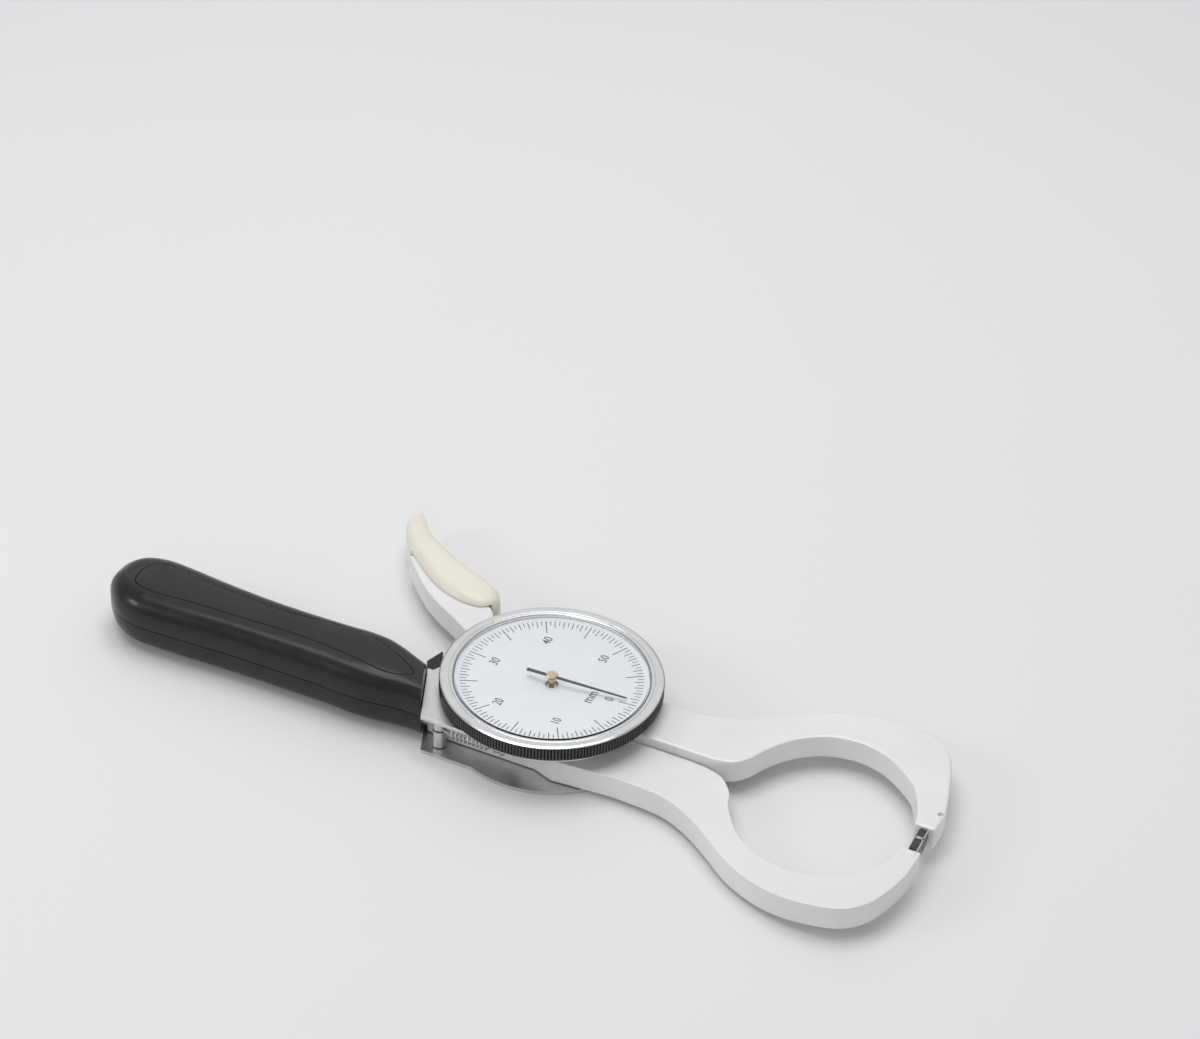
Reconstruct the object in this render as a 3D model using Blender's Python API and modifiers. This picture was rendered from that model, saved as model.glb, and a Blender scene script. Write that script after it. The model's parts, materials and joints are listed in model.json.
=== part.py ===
"""Skinfold caliper: a hand grip, two curved arms on one pivot, and a round dial gauge."""
import math

import bmesh
import bpy
from mathutils import Matrix, Vector

MM = 0.001

# Gap kept between neighbouring pieces.
seat_gap = 0.3 * MM

# Heights above the table, dial upwards.
back_plate_thick = 1.2 * MM
fixed_arm_low = 1.5 * MM
fixed_arm_top = 10.0 * MM
moving_arm_low = 4.2 * MM
moving_arm_top = 13.2 * MM
top_plate_low = 13.7 * MM
top_plate_top = 15.0 * MM

# Arms, measured from the pivot.
jaw_reach = 158.3 * MM
jaw_spread = 46.7 * MM
arm_edge_round = 1.4 * MM
arm_seam = 1.1 * MM
tip_lift = 2.7 * MM
tip_lift_start = 0.707 * jaw_reach
tip_lift_end = 0.922 * jaw_reach
tip_lift_steps = 6
hub_radius = 8.8 * MM
hub_split = 6.3 * MM
pivot_radius = 2.5 * MM

# Plates above and below the arms.
plate_inset = 2.0 * MM
plate_front = -25.6 * MM
plate_corner_x = -5.8 * MM
plate_tail_x = -15.4 * MM
plate_tail_y = -2.8 * MM
plate_step = 2.0 * MM

arm_stop_round = 0.4 * MM

# Gauge.
gauge_across = 25.0 * MM
gauge_along_seam = 6.4 * MM
bezel_radius = 36.4 * MM
bezel_low = 15.3 * MM
bezel_top = 20.8 * MM
bezel_wall = 3.2 * MM
knurl_depth = 0.45 * MM
knurl_count = 110
trim_inset = 0.6 * MM
trim_width = 4.1 * MM
case_wall = 1.4 * MM
case_top = 18.2 * MM
dial_margin = 0.5 * MM
dial_edge_height = 19.3 * MM
dial_dish = 2.4 * MM
dial_thick = 0.6 * MM
dial_hole = 2.2 * MM
crystal_thick = 1.1 * MM
crystal_rise = 1.3 * MM
round_steps = 72
plate_radius = bezel_radius - plate_inset
bezel_bore = bezel_radius - bezel_wall
trim_radius = bezel_radius - trim_inset
ring_bore = trim_radius - trim_width
case_radius = bezel_bore - 4 * seat_gap / 3
dial_radius = ring_bore - dial_margin

# Dial furniture, heights above the table.
case_floor_top = 15.9 * MM
bezel_shoulder = 19.6 * MM
crystal_low = 20.0 * MM
shaft_radius = 0.5 * MM
shaft_top = 21.0 * MM
bush_radius = 1.6 * MM
hub_sleeve_radius = 1.0 * MM
hub_cap_radius = 2.0 * MM
hub_low = 16.3 * MM
pointer_low = 19.85 * MM
pointer_thick = 0.3 * MM
pointer_reach = 25.9 * MM
pointer_tail = 8.8 * MM
pointer_wide = 1.3 * MM
pointer_deg = 2.7
case_screw_circle = 0.67 * case_radius

# Gear between the moving arm and the pointer.
turn_ratio = 16
pinion_teeth = 10
gear_thick = 1.1 * MM
recess_floor = 11.5 * MM
sector_teeth = 16
sector_inner = 12.0 * MM
sector_step_in = 4.0 * MM
sector_screw_turn = 14.0
screw_circle = 16.5 * MM
screw_shank = 0.8 * MM
screw_head = 1.4 * MM
sector_screw_low = 8.0 * MM

# Spacers between the plates, places measured from the pivot.
spacer_radius = 3.0 * MM
back_spacer_place = (3.5 * MM, 28.8 * MM)
front_spacer_place = (44.0 * MM, -13.0 * MM)
side_spacer_place = (-7.0 * MM, -14.5 * MM)
middle_screw_place = (14.0 * MM, -12.0 * MM)
back_screw_head = 2.5 * MM
stop_points = [
    (-10.6 * MM, -2.4 * MM), (-10.9 * MM, 1.2 * MM), (-13.2 * MM, 3.6 * MM), (-16.2 * MM, 9.4 * MM),
    (-18.4 * MM, 2.3 * MM), (-16.9 * MM, -0.9 * MM), (-15.1 * MM, -2.4 * MM),
]
back_screw_shank = 1.0 * MM
back_screw_top = 6.0 * MM

# Grip.
grip_height = 22.0 * MM
grip_split = 11.0 * MM
grip_back = 132.3 * MM
grip_width = 29.4 * MM
grip_squareness = 3.0
grip_screw_shares = [0.30, 0.72]
grip_screw_head = 3.0 * MM
grip_screw_shank = 1.4 * MM
grip_screw_sink = 2.9 * MM
grip_screw_top = 17.0 * MM

# Thumb pad.
pad_height = 15.6 * MM
pad_middle = 9.0 * MM
pad_squareness = 3.0

# Tang of the fixed arm inside the grip.
tang_start = -8.0 * MM
tang_middle = -11.0 * MM
tang_low = 4.0 * MM
tang_width = 11.0 * MM
tang_length = 100.0 * MM
root_edge = -20.0 * MM
root_front = 38.0 * MM
root_step = 31.0 * MM
root_back = -4.0 * MM
spring_room = 3.0 * MM

# Anvils.
anvil_width = 2.9 * MM
anvil_height = 6.0 * MM
anvil_left = 0.9665 * jaw_reach
anvil_top = 12.7 * MM
contact_y = -2.4 * MM

peg_radius = 1.2 * MM
dimple_x = 0.992 * jaw_reach
dimple_y = 0.214 * jaw_spread
dimple_radius = 1.1 * MM

# Lever that takes the spring, above the fixed arm.
lever_low = 11.0 * MM
lug_across = 20.0 * MM
lug_radius = 3.6 * MM
pin_radius = 1.0 * MM
washer_thick = 0.4 * MM
recess_inner = 9.6 * MM
recess_outer = 29.5 * MM

# Closing spring.
spring_radius = 1.9 * MM
spring_wire = 0.7 * MM
spring_turns = 9
spring_height = 8.4 * MM
spring_y = -20.6 * MM
anchor_across = -1.5 * MM
anchor_radius = 2.2 * MM
coil_inset = 4.2 * MM
pin_low = 6.4 * MM
pin_slot_margin = 0.6 * MM
hook_deg = 280.0
hook_steps = 13
anchor_hook_start = 60.0
pin_hook_start = -160.0
turn_steps = 10


def clear_scene():
    for old in list(bpy.data.objects):
        bpy.data.objects.remove(old, do_unlink=True)


clear_scene()
parts = bpy.data.collections.new("skinfold_caliper")
cutters = bpy.data.collections.new("cutters")
bpy.context.scene.collection.children.link(parts)
bpy.context.scene.collection.children.link(cutters)


def material(name, colour, rough, metal=0.0):
    made = bpy.data.materials.new(name)
    made.use_nodes = True
    shader = made.node_tree.nodes["Principled BSDF"]
    shader.inputs["Base Color"].default_value = (*colour, 1.0)
    shader.inputs["Roughness"].default_value = rough
    shader.inputs["Metallic"].default_value = metal
    return made


enamel = (0.80, 0.80, 0.79)
silver = (0.70, 0.70, 0.69)
black = (0.02, 0.02, 0.022)
chrome = (0.30, 0.29, 0.30)
brass = (0.62, 0.47, 0.24)
ivory = (0.78, 0.76, 0.66)


def add_object(name, mesh, colour=silver, rough=0.35, metal=1.0, cutter=False):
    made = bpy.data.objects.new(name, mesh)
    if cutter:
        cutters.objects.link(made)
        made.hide_render = True
        made.display_type = "WIRE"
    else:
        parts.objects.link(made)
        mesh.materials.append(material(name, colour, rough, metal))
    return made


def finish_mesh(name, bm):
    bmesh.ops.recalc_face_normals(bm, faces=bm.faces[:])
    mesh = bpy.data.meshes.new(name)
    bm.to_mesh(mesh)
    bm.free()
    return mesh


def prism(name, outline, low, high, **look):
    bm = bmesh.new()
    bottom = [bm.verts.new((x, y, low)) for x, y in outline]
    top = [bm.verts.new((x, y, high)) for x, y in outline]
    bm.faces.new(bottom)
    bm.faces.new(top)
    count = len(outline)
    for i in range(count):
        j = (i + 1) % count
        bm.faces.new((bottom[i], bottom[j], top[j], top[i]))
    return add_object(name, finish_mesh(name, bm), **look)


def revolve(name, profile, centre=(0.0, 0.0), steps=round_steps, axis="Z", **look):
    bm = bmesh.new()
    rings = []
    for radius, height in profile:
        if radius == 0.0:
            rings.append([bm.verts.new((0.0, 0.0, height))])
            continue
        ring = []
        for i in range(steps):
            angle = 2 * math.pi * (i + 0.37) / steps
            ring.append(bm.verts.new((radius * math.cos(angle), radius * math.sin(angle), height)))
        rings.append(ring)
    closed = profile[0][0] != 0.0
    pairs = list(zip(rings, rings[1:]))
    if closed:
        pairs.append((rings[-1], rings[0]))
    for lower, upper in pairs:
        for i in range(steps):
            j = (i + 1) % steps
            corners = [lower[i % len(lower)], lower[j % len(lower)]]
            corners += [upper[j % len(upper)], upper[i % len(upper)]]
            bm.faces.new(list(dict.fromkeys(corners)))
    if axis == "X":
        bmesh.ops.rotate(bm, verts=bm.verts[:], matrix=Matrix.Rotation(math.pi / 2, 3, "Y"))
    if axis == "Y":
        bmesh.ops.rotate(bm, verts=bm.verts[:], matrix=Matrix.Rotation(-math.pi / 2, 3, "X"))
    if len(centre) == 2:
        centre = (*centre, 0.0)
    bmesh.ops.translate(bm, verts=bm.verts[:], vec=Vector(centre))
    return add_object(name, finish_mesh(name, bm), **look)


def rod(name, centre, radius, low, high, steps=32, **look):
    profile = [(0.0, low), (radius, low), (radius, high), (0.0, high)]
    return revolve(name, profile, centre, steps, **look)


def block(name, low, high, **look):
    outline = [(low[0], low[1]), (high[0], low[1]), (high[0], high[1]), (low[0], high[1])]
    return prism(name, outline, low[2], high[2], **look)


def loft(name, stations, exponent, rows=28, **look):
    """Closed body through stations of centre, sideways direction, half width and half height."""
    bm = bmesh.new()
    rings = []
    for centre, side, half_width, half_height in stations:
        ring = []
        for i in range(rows):
            angle = 2 * math.pi * (i + 0.5) / rows
            across = math.copysign(abs(math.cos(angle)) ** (2 / exponent), math.cos(angle))
            upward = math.copysign(abs(math.sin(angle)) ** (2 / exponent), math.sin(angle))
            place = Vector(centre) + Vector(side) * half_width * across + Vector((0, 0, half_height * upward))
            ring.append(bm.verts.new(place))
        rings.append(ring)
    for lower, upper in zip(rings, rings[1:]):
        for i in range(rows):
            j = (i + 1) % rows
            bm.faces.new((lower[i], lower[j], upper[j], upper[i]))
    bm.faces.new(rings[0])
    bm.faces.new(rings[-1])
    return add_object(name, finish_mesh(name, bm), **look)


def smooth_line(points, steps=3):
    """Points on a smooth curve through the given points, ends included."""
    padded = [points[0], *points, points[-1]]
    line = []
    for before, start, end, after in zip(padded, padded[1:], padded[2:], padded[3:]):
        for k in range(steps):
            t = k / steps
            value = []
            for a, b, c, d in zip(before, start, end, after):
                linear = (c - a) * t
                square = (2 * a - 5 * b + 4 * c - d) * t * t
                cubic = (3 * b - a - 3 * c + d) * t ** 3
                value.append(0.5 * (2 * b + linear + square + cubic))
            line.append(tuple(value))
    line.append(tuple(points[-1]))
    return line


def arc(centre, radius, start_deg, end_deg, steps):
    line = []
    for k in range(steps + 1):
        angle = math.radians(start_deg + (end_deg - start_deg) * k / steps)
        line.append((centre[0] + radius * math.cos(angle), centre[1] + radius * math.sin(angle)))
    return line


def scaled(shares, across, upward):
    return [(x * across, y * upward) for x, y in shares]


def grown(outline, distance):
    """The closed outline moved outwards by the distance."""
    count = len(outline)
    area = sum(outline[i - 1][0] * outline[i][1] - outline[i][0] * outline[i - 1][1] for i in range(count))
    turn = math.copysign(1.0, area)
    line = []
    for i in range(count):
        before = Vector(outline[i - 1])
        after = Vector(outline[(i + 1) % count])
        along = (after - before).normalized()
        line.append((outline[i][0] + turn * along.y * distance, outline[i][1] - turn * along.x * distance))
    return line


def add_boolean(target, tool, operation="DIFFERENCE"):
    step = target.modifiers.new(tool.name, "BOOLEAN")
    step.object = tool
    step.operation = operation
    step.solver = "EXACT"


def add_bevel(target, width, segments=2, angle_deg=50):
    step = target.modifiers.new("edge round", "BEVEL")
    step.width = width
    step.segments = segments
    step.limit_method = "ANGLE"
    step.angle_limit = math.radians(angle_deg)
    step.harden_normals = False


gauge = (gauge_across, gauge_along_seam)

pad_front_shares = [
    (-0.401, 1.640), (-0.399, 1.570), (-0.394, 1.475), (-0.379, 1.375), (-0.357, 1.251), (-0.329, 1.126),
    (-0.294, 1.019), (-0.251, 0.899), (-0.201, 0.801), (-0.149, 0.749), (-0.107, 0.749), (-0.085, 0.784),
]
pad_back_shares = [
    (-0.391, 1.690), (-0.379, 1.655), (-0.357, 1.560), (-0.329, 1.445), (-0.294, 1.338), (-0.256, 1.257),
    (-0.218, 1.191), (-0.171, 1.122), (-0.126, 1.071), (-0.095, 1.015), (-0.076, 0.921), (-0.073, 0.857),
]
pad_rise_shares = [0.20, 0.42, 0.62, 0.76, 0.88, 0.97, 1.0, 1.0, 0.97, 0.90, 0.70, 0.38]

# Grip stations from the back end: distance, middle line, half width and half height.
grip_back_shares = [
    1.000, 0.996, 0.985, 0.957, 0.922, 0.877, 0.824, 0.718, 0.612,
    0.484, 0.348, 0.287, 0.234, 0.185, 0.144, 0.098, 0.030,
]
grip_middle_shares = [
    -0.258, -0.258, -0.260, -0.275, -0.306, -0.330, -0.340, -0.357, -0.364,
    -0.367, -0.357, -0.354, -0.364, -0.384, -0.408, -0.442, -0.476,
]
grip_half_shares = [
    0.040, 0.120, 0.235, 0.371, 0.459, 0.500, 0.500, 0.466, 0.432,
    0.418, 0.425, 0.442, 0.432, 0.391, 0.337, 0.293, 0.279,
]
grip_rise_shares = [
    0.12, 0.34, 0.60, 0.81, 0.93, 1.00, 1.00, 1.00, 1.00, 1.00, 1.00, 1.00, 1.00, 0.965, 0.93, 0.91, 0.90,
]

# Outlines of the two jaws as shares of the reach and the spread, from the gauge to the tip.
moving_outer_shares = [
    (0.370, 0.430), (0.470, 0.450), (0.533, 0.527), (0.595, 0.662), (0.658, 0.822),
    (0.721, 0.927), (0.784, 0.987), (0.846, 1.000), (0.903, 0.966), (0.941, 0.874),
    (0.966, 0.692), (0.991, 0.383), (1.000, 0.212), (0.9975, 0.051),
]
moving_inner_shares = [
    (0.952, 0.051), (0.949, 0.131), (0.940, 0.229), (0.928, 0.321), (0.910, 0.418),
    (0.878, 0.512), (0.846, 0.587), (0.815, 0.630), (0.784, 0.649), (0.752, 0.645),
    (0.721, 0.621), (0.689, 0.565), (0.658, 0.480), (0.633, 0.375), (0.614, 0.268),
    (0.601, 0.171), (0.582, 0.086), (0.562, 0.045), (0.533, 0.0236),
]
fixed_outer_shares = [
    (0.993, -0.184), (0.992, -0.290), (0.986, -0.470), (0.966, -0.690), (0.941, -0.831),
    (0.903, -0.923), (0.846, -0.957), (0.784, -0.944), (0.721, -0.884), (0.658, -0.779),
    (0.595, -0.619), (0.533, -0.484), (0.470, -0.407), (0.370, -0.388),
]
fixed_inner_shares = [
    (0.360, 0.017), (0.493, 0.012), (0.537, -0.009), (0.562, -0.043), (0.581, -0.107),
    (0.594, -0.171), (0.602, -0.257), (0.613, -0.332), (0.632, -0.428), (0.657, -0.525),
    (0.682, -0.587), (0.714, -0.640), (0.745, -0.668), (0.774, -0.683), (0.810, -0.690),
    (0.843, -0.675), (0.876, -0.634), (0.908, -0.557), (0.927, -0.480), (0.940, -0.388),
    (0.948, -0.276), (0.952, -0.184),
]

# Roots of the moving arm hidden under the gauge, and the blade that carries the thumb pad.
moving_root_shares = [(0.060, 0.310), (0.120, 0.345), (0.240, 0.400)]
blade_back_shares = [(-0.300, 1.120), (-0.235, 1.100), (-0.165, 1.000), (-0.110, 0.880), (-0.070, 0.770)]
blade_root_shares = [(-0.048, 0.560), (-0.018, 0.360), (0.018, 0.290)]
blade_front_shares = [(-0.052, 0.210), (-0.068, 0.360), (-0.102, 0.501), (-0.228, 0.756), (-0.331, 1.100)]


def moving_outline():
    outline = smooth_line(scaled(moving_root_shares + moving_outer_shares, jaw_reach, jaw_spread))
    outline += smooth_line(scaled(moving_inner_shares, jaw_reach, jaw_spread), 2)
    start = math.degrees(math.asin(arm_seam / hub_radius))
    outline += arc((0.0, 0.0), hub_radius, start, start - 215.0, 20)
    outline += smooth_line(scaled(blade_front_shares, jaw_reach, jaw_spread), 3)
    outline += smooth_line(scaled(blade_back_shares + blade_root_shares, jaw_reach, jaw_spread), 3)
    return outline[::-1]


def fixed_outline():
    line = smooth_line(scaled(fixed_inner_shares, jaw_reach, jaw_spread), 2)
    line += smooth_line(scaled(fixed_outer_shares, jaw_reach, jaw_spread))
    return line


def lift_tip(mesh):
    """Raise the end of the fixed arm so that both tips face each other."""
    bm = bmesh.new()
    bm.from_mesh(mesh)
    for step in range(tip_lift_steps + 1):
        across = tip_lift_start + (tip_lift_end - tip_lift_start) * step / tip_lift_steps
        bmesh.ops.bisect_plane(bm, geom=bm.verts[:] + bm.edges[:] + bm.faces[:], plane_co=(across, 0.0, 0.0),
                               plane_no=(1.0, 0.0, 0.0))
    bm.to_mesh(mesh)
    bm.free()
    for vert in mesh.vertices:
        share = (vert.co.x - tip_lift_start) / (tip_lift_end - tip_lift_start)
        share = min(max(share, 0.0), 1.0)
        vert.co.z += tip_lift * share * share * (3 - 2 * share)


def plate_outline():
    """Round under the gauge, drawn out towards the grip."""
    join = math.degrees(math.asin((gauge_along_seam - plate_front) / plate_radius))
    line = arc(gauge, plate_radius, -180.0 + join, 180.0, 80)
    line += [(plate_tail_x + 2 * plate_step, arm_seam), (plate_tail_x + plate_step, plate_tail_y)]
    line += [(plate_tail_x, plate_tail_y), (plate_corner_x, plate_front)]
    return line


def fixed_root():
    """Root of the fixed arm under the gauge, with the tang that runs into the grip."""
    half = tang_width / 2
    inner_edge = spring_y + spring_room
    root = [(root_front, root_edge), (root_step, inner_edge), (root_back, inner_edge)]
    root += [(tang_start, tang_middle - half)]
    root += [(tang_start - tang_length, tang_middle - half), (tang_start - tang_length, tang_middle + half)]
    root += [(tang_start, tang_middle + half), (tang_start + plate_step, arm_seam - seat_gap)]
    return root


def wedge(inner, outer, start_deg, end_deg, steps=16):
    line = arc((0.0, 0.0), outer, start_deg, end_deg, steps)
    line += arc((0.0, 0.0), inner, end_deg, start_deg, steps)
    return line


paint = {"colour": enamel, "rough": 0.3, "metal": 0.0}
hidden = {"cutter": True}

# Moving arm: jaw, hub, trigger blade and the short lever that takes the spring.
moving_arm = prism("moving_arm", moving_outline(), moving_arm_low, moving_arm_top, **paint)
lug = (lug_across, spring_y)
lever_turn = math.degrees(math.atan2(spring_y, lug_across))
lever_line = arc((0.0, 0.0), 0.8 * hub_radius, lever_turn + 90, lever_turn + 270, 16)
lever_line += arc(lug, lug_radius, lever_turn - 90, lever_turn + 90, 12)
lever = prism("lever", lever_line, lever_low, moving_arm_top - seat_gap, **hidden)
hub_space = rod("moving hub space", (0.0, 0.0), hub_radius + 2 * seat_gap, 0.0, hub_split, **hidden)
gear_recess = prism("gear recess", wedge(recess_inner, recess_outer, -24.0, 52.0), recess_floor,
                    moving_arm_top + MM, **hidden)
pivot_hole = rod("pivot hole", (0.0, 0.0), pivot_radius + seat_gap, 0.0, moving_arm_top + MM, 28, **hidden)
lug_hole = rod("lug hole", lug, pin_radius + seat_gap, 0.0, moving_arm_top + MM, 20, **hidden)
grub_dimple = rod("grub dimple", (dimple_x, dimple_y), dimple_radius, moving_arm_top - MM,
                  moving_arm_top + MM, 20, **hidden)
anvil_x = anvil_left + anvil_width / 2
anvil_z = anvil_top - anvil_height / 2
peg_length = 4.0 * MM
moving_end = moving_outer_shares[-1][1] * jaw_spread
fixed_end = fixed_outer_shares[0][1] * jaw_spread
peg_hole = (anvil_x, 0.0, anvil_z)



def peg_shape(name, radius, start, end, place):
    """Round peg along Y."""
    profile = [(0.0, start), (radius, start), (radius, end), (0.0, end)]
    return revolve(name, profile, place, 20, "Y", **hidden)


moving_peg_hole = peg_shape("moving peg hole", peg_radius + seat_gap, moving_end - MM,
                            moving_end + peg_length + seat_gap, peg_hole)
fixed_peg_hole = peg_shape("fixed peg hole", peg_radius + seat_gap, fixed_end + MM,
                           fixed_end - peg_length - seat_gap, peg_hole)
add_bevel(moving_arm, arm_edge_round)
add_boolean(moving_arm, lever, "UNION")
for tool in (hub_space, gear_recess, pivot_hole, lug_hole, grub_dimple, moving_peg_hole):
    add_boolean(moving_arm, tool)

# Fixed arm: jaw, hub and the tang that runs into the grip.
fixed_arm = prism("fixed_arm", fixed_outline() + fixed_root(), fixed_arm_low, fixed_arm_top, **paint)
lift_tip(fixed_arm.data)
boss = rod("hub boss", (0.0, 0.0), hub_radius, fixed_arm_low + seat_gap, hub_split, **hidden)
fixed_hub_space = rod("fixed hub space", (0.0, 0.0), hub_radius + 2 * seat_gap,
                      hub_split - washer_thick - 2 * seat_gap, fixed_arm_top + MM, **hidden)
tang_space = block("tang space", (tang_start - tang_length - MM, tang_middle - tang_width, 0.0),
                   (tang_start, tang_middle + tang_width, tang_low), **hidden)
pin_path = math.hypot(lug_across, spring_y)
slot_half = lug_radius / 2 + pin_slot_margin
slot_line = wedge(pin_path - slot_half, pin_path + slot_half, lever_turn - 9, lever_turn + 29.3)
pin_slot = prism("pin slot", slot_line, pin_low - 2 * seat_gap, fixed_arm_top + MM, **hidden)
add_bevel(fixed_arm, arm_edge_round)
add_boolean(fixed_arm, fixed_peg_hole)
add_boolean(fixed_arm, boss, "UNION")
for tool in (fixed_hub_space, tang_space, pivot_hole, pin_slot):
    add_boolean(fixed_arm, tool)

# Anvils with round pegs that sit in the arm ends.
for name, near, end, facing in (("moving_anvil", contact_y + seat_gap / 2, moving_end, 1),
                                ("fixed_anvil", contact_y - seat_gap / 2, fixed_end, -1)):
    root = end - facing * seat_gap
    anvil = block(name, (anvil_left, min(near, root), anvil_top - anvil_height),
                  (anvil_left + anvil_width, max(near, root), anvil_top), colour=chrome, rough=0.15)
    peg = peg_shape(name + " peg", peg_radius, root - facing * MM / 2, end + facing * peg_length, peg_hole)
    add_bevel(anvil, 0.25 * MM, 1)
    add_boolean(anvil, peg, "UNION")

# Thumb pad wrapped round the blade.
stations = []
for front, back, rise in zip(pad_front_shares, pad_back_shares, pad_rise_shares):
    front_point = Vector((front[0] * jaw_reach, front[1] * jaw_spread))
    back_point = Vector((back[0] * jaw_reach, back[1] * jaw_spread))
    middle = (front_point + back_point) / 2
    side = (back_point - front_point) / 2
    across = side.length
    side.normalize()
    place = (middle.x, middle.y, pad_middle)
    stations.append((place, (side.x, side.y, 0.0), across, rise * pad_height / 2))
thumb_pad = loft("thumb_pad", stations, pad_squareness, 28, colour=ivory, rough=0.35, metal=0.0)
blade_shares = blade_front_shares + blade_back_shares + blade_root_shares
blade_line = smooth_line(scaled(blade_shares, jaw_reach, jaw_spread), 3)
pad_slot = prism("pad slot", grown(blade_line, seat_gap), moving_arm_low - seat_gap,
                 moving_arm_top + seat_gap, **hidden)
add_boolean(thumb_pad, pad_slot)

# Plates, spacers and the pivot.
steel = {"colour": silver, "rough": 0.35, "metal": 1.0}
top_plate = prism("top_plate", plate_outline(), top_plate_low, top_plate_top, **steel)
back_plate = prism("back_plate", plate_outline(), 0.0, back_plate_thick, **steel)
shaft_hole = rod("shaft hole", gauge, bush_radius + seat_gap, top_plate_low - MM,
                 top_plate_top + MM, 24, **hidden)
add_boolean(top_plate, shaft_hole)
spacer_low = back_plate_thick + seat_gap
spacer_top = top_plate_low - seat_gap
arm_spacer_low = fixed_arm_top + seat_gap
for name, place, foot in (("back_spacer", back_spacer_place, spacer_low),
                          ("front_spacer", front_spacer_place, arm_spacer_low),
                          ("side_spacer", side_spacer_place, arm_spacer_low)):
    rod(name, place, spacer_radius, foot, spacer_top, 32, **steel)
arm_stop = prism("arm_stop", stop_points, spacer_low, spacer_top, colour=black, rough=0.4, metal=0.0)
add_bevel(arm_stop, arm_stop_round)
anchor = (anchor_across, spring_y)
groove_half = spring_wire / 2 + seat_gap
groove_low = spring_height - groove_half
groove_top = spring_height + groove_half
pin_foot = lug_radius / 2
anchor_profile = [(0.0, spacer_low), (anchor_radius, spacer_low), (anchor_radius, groove_low),
                  (pin_radius, groove_low), (pin_radius, groove_top), (anchor_radius, groove_top),
                  (anchor_radius, spacer_top), (0.0, spacer_top)]
revolve("spring_anchor", anchor_profile, anchor, 32, **steel)
pin_profile = [(0.0, pin_low), (pin_foot, pin_low), (pin_foot, groove_low), (pin_radius, groove_low),
               (pin_radius, moving_arm_top), (0.0, moving_arm_top)]
revolve("spring_pin", pin_profile, lug, 24, **steel)
rod("pivot_pin", (0.0, 0.0), pivot_radius, spacer_low, spacer_top, 40, **steel)
washer_low = hub_split - seat_gap - washer_thick
washer_top = washer_low + washer_thick
washer_profile = [(pivot_radius + seat_gap, washer_low), (hub_radius - MM, washer_low),
                  (hub_radius - MM, washer_top), (pivot_radius + seat_gap, washer_top)]
revolve("pivot_washer", washer_profile, (0.0, 0.0), 48, colour=brass, rough=0.35)

# Closing spring between the anchor and the lever pin, hooked round both.
hook_radius = pin_radius + groove_half


def hook(across, first_deg):
    """Open ring of the spring wire round a pin."""
    ring = []
    for k in range(hook_steps + 1):
        angle = math.radians(first_deg + hook_deg * k / hook_steps)
        along = across + hook_radius * math.cos(angle)
        ring.append(Vector((along, spring_y + hook_radius * math.sin(angle), spring_height)))
    return ring


points = hook(anchor_across, anchor_hook_start)
coil_start = anchor_across + coil_inset
coil_end = lug_across - coil_inset
coil_steps = turn_steps * spring_turns
for k in range(coil_steps + 1):
    turn = 2 * math.pi * k / turn_steps
    points.append(Vector((coil_start + (coil_end - coil_start) * k / coil_steps,
                          spring_y + spring_radius * math.sin(turn),
                          spring_height - spring_radius * math.cos(turn))))
points += hook(lug_across, pin_hook_start)
least_gap = 1.0
for i, point in enumerate(points):
    for other in points[i + 6:]:
        least_gap = min(least_gap, (point - other).length - spring_wire)
print("least gap of the spring to itself, mm:", round(least_gap / MM, 3))
curve = bpy.data.curves.new("closing_spring", "CURVE")
curve.dimensions = "3D"
curve.bevel_depth = spring_wire / 2
curve.bevel_resolution = 1
curve.use_fill_caps = True
line = curve.splines.new("POLY")
line.points.add(len(points) - 1)
for spot, point in zip(line.points, points):
    spot.co = (*point, 1.0)
curve.materials.append(material("closing_spring", silver, 0.3, 1.0))
spring = bpy.data.objects.new("closing_spring", curve)
parts.objects.link(spring)
weld = spring.modifiers.new("weld", "WELD")
weld.merge_threshold = 0.05 * MM

# Gear sector on the moving arm and pinion on the pointer shaft.
centre_distance = math.hypot(*gauge)
module = 2 * centre_distance / (pinion_teeth * (turn_ratio + 1))
sector_pitch = module * pinion_teeth * turn_ratio / 2
pinion_pitch = module * pinion_teeth / 2
tooth_rise = 0.66 * module
tooth_fall = 1.05 * module
mesh_deg = math.degrees(math.atan2(gauge_along_seam, gauge_across))


def teeth(pitch_radius, tooth_pitch_deg, first_deg, count):
    """Straight-sided teeth, each centred on its angle."""
    corners = ((-0.34, -tooth_fall), (-0.13, tooth_rise), (0.13, tooth_rise), (0.34, -tooth_fall))
    line = []
    for k in range(count):
        middle = first_deg + tooth_pitch_deg * k
        for share, rise in corners:
            angle = math.radians(middle + share * tooth_pitch_deg)
            line.append(((pitch_radius + rise) * math.cos(angle), (pitch_radius + rise) * math.sin(angle)))
    return line


sector_step = 360.0 / (pinion_teeth * turn_ratio)
sector_low = recess_floor + seat_gap
sector_first = mesh_deg + (3.5 - sector_teeth + 1) * sector_step
sector_line = teeth(sector_pitch, sector_step, sector_first, sector_teeth)
sector_line += arc((0.0, 0.0), sector_inner + sector_step_in, mesh_deg + 12.0, mesh_deg + 20.0, 4)
sector_line += arc((0.0, 0.0), sector_inner, mesh_deg + 20.0, sector_first, 16)
sector_top = sector_low + gear_thick
gear_sector = prism("gear_sector", sector_line, sector_low, sector_top, colour=brass, rough=0.35)


def screw_profile(low, head_low, head_top):
    return [(0.0, low), (screw_shank, low), (screw_shank, head_low), (screw_head, head_low),
            (screw_head, head_top), (0.0, head_top)]


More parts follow.
